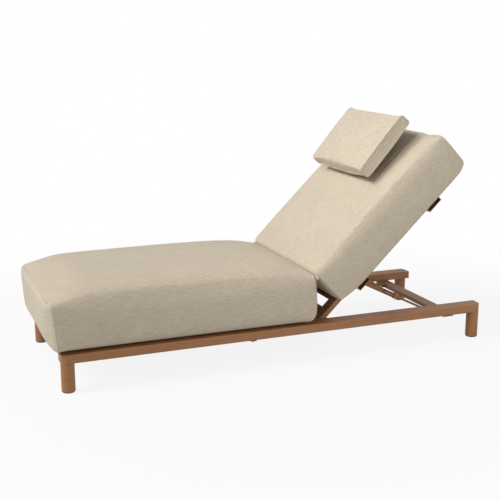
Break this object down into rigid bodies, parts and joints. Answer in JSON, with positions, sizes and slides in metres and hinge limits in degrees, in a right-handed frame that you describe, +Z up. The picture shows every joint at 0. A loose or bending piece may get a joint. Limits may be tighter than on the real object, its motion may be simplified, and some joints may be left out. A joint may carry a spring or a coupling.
{
  "type": "sun lounger",
  "caption": "Low adjustable sun lounger: straight coated metal frame on round legs, hinged backrest on telescopic stays, thick box cushions and a sliding head pillow.",
  "frame": {"origin": "on the floor, under the middle of the whole lounger's box", "axes": "+X from the foot end to the head end, +Y towards the far side in the picture, +Z up"},
  "size_m": [2.15, 0.7848, 1.1204],
  "materials": {
    "coated_metal": "matt powder coat in a warm wood brown",
    "cushion_fabric": "melange woven outdoor cloth in beige",
    "strap_fabric": "plain woven outdoor cloth, a little darker",
    "moulded_nylon": "moulded nylon",
    "zinc_steel": "zinc plated steel"
  },
  "bodies": {
    "frame": {"cross_bar_bolts": "zinc_steel", "foot_cross_bar": "coated_metal", "foot_glide_foot_left": "moulded_nylon", "foot_glide_foot_right": "moulded_nylon", "foot_glide_head_left": "moulded_nylon", "foot_glide_head_right": "moulded_nylon", "head_cross_bar": "coated_metal", "hinge_bracket_left": "coated_metal", "hinge_bracket_right": "coated_metal", "hinge_pins": "zinc_steel", "leg_foot_left": "coated_metal", "leg_foot_right": "coated_metal", "leg_head_left": "coated_metal", "leg_head_right": "coated_metal", "mid_cross_bar": "coated_metal", "rail_corner_foot_left": "coated_metal", "rail_corner_foot_right": "coated_metal", "rail_corner_head_left": "coated_metal", "rail_corner_head_right": "coated_metal", "seat_cushion": "cushion_fabric", "seat_ledge_left": "coated_metal", "seat_ledge_right": "coated_metal", "seat_slat_1": "coated_metal", "seat_slat_2": "coated_metal", "seat_slat_3": "coated_metal", "seat_slat_4": "coated_metal", "seat_slat_5": "coated_metal", "side_rail_left": "coated_metal", "side_rail_right": "coated_metal", "slat_screws": "zinc_steel", "stay_anchor_left": "coated_metal", "stay_anchor_right": "coated_metal", "stay_pin_left": "zinc_steel", "stay_pin_right": "zinc_steel"},
    "backrest": {"back_heel_bar": "coated_metal", "back_lower_bar": "coated_metal", "back_slat_1": "coated_metal", "back_slat_2": "coated_metal", "back_slat_3": "coated_metal", "back_slat_4": "coated_metal", "back_tube_left": "coated_metal", "back_tube_right": "coated_metal", "back_upper_bar": "coated_metal", "hinge_bushes": "moulded_nylon", "stay_lug_left": "coated_metal", "stay_lug_right": "coated_metal"},
    "back_cushion": {"back_cushion": "cushion_fabric", "pillow_strap": "strap_fabric"},
    "head_pillow": {"head_pillow": "cushion_fabric"},
    "counterweight": {"pillow_counterweight": "strap_fabric"},
    "stay_bar_left": {"stay_bar_left": "coated_metal", "stay_slider_left": "moulded_nylon"},
    "stay_channel_left": {"stay_channel_left": "coated_metal", "stay_collar_left": "coated_metal", "stay_rivet_left": "zinc_steel"},
    "stay_bar_right": {"stay_bar_right": "coated_metal", "stay_slider_right": "moulded_nylon"},
    "stay_channel_right": {"stay_channel_right": "coated_metal", "stay_collar_right": "coated_metal", "stay_rivet_right": "zinc_steel"}
  },
  "joints": [
    {"name": "recline", "type": "hinge", "parent": "frame", "child": "backrest", "pos_m": [0.225, 0, 0.16], "axis": [0, 1, 0], "range_deg": [0, 44]},
    {"name": "stay_swing_left", "type": "hinge", "parent": "frame", "child": "stay_bar_left", "pos_m": [0.861, 0.262, 0.12], "axis": [0, 1, 0], "range_deg": [-32.51, 0]},
    {"name": "stay_slide_left", "type": "slide", "parent": "stay_bar_left", "child": "stay_channel_left", "axis": [0.8951, 0, -0.4459], "range_m": [0, 0.07024]},
    {"name": "stay_swing_right", "type": "hinge", "parent": "frame", "child": "stay_bar_right", "pos_m": [0.861, -0.262, 0.12], "axis": [0, 1, 0], "range_deg": [-32.51, 0]},
    {"name": "stay_slide_right", "type": "slide", "parent": "stay_bar_right", "child": "stay_channel_right", "axis": [0.8951, 0, -0.4459], "range_m": [0, 0.07024]},
    {"name": "cushion_slide", "type": "slide", "parent": "backrest", "child": "back_cushion", "axis": [-0.7193, 0, -0.6947], "range_m": [0, 0.18295]},
    {"name": "pillow_slide", "type": "slide", "parent": "back_cushion", "child": "head_pillow", "axis": [0.749, 0, 0.6626], "range_m": [-0.08, 0.02]},
    {"name": "counterweight_slide", "type": "slide", "parent": "back_cushion", "child": "counterweight", "axis": [0.7193, 0, 0.6947], "range_m": [-0.02, 0.08]}
  ],
  "couplings": [
    {"joint": "stay_swing_left", "follows": "recline", "ratio": -0.73865},
    {"joint": "stay_slide_left", "follows": "recline", "m_per_rad": 0.0914},
    {"joint": "stay_swing_right", "follows": "recline", "ratio": -0.73865},
    {"joint": "stay_slide_right", "follows": "recline", "m_per_rad": 0.0914},
    {"joint": "cushion_slide", "follows": "recline", "m_per_rad": 0.23816},
    {"joint": "counterweight_slide", "follows": "pillow_slide", "ratio": -1}
  ]
}
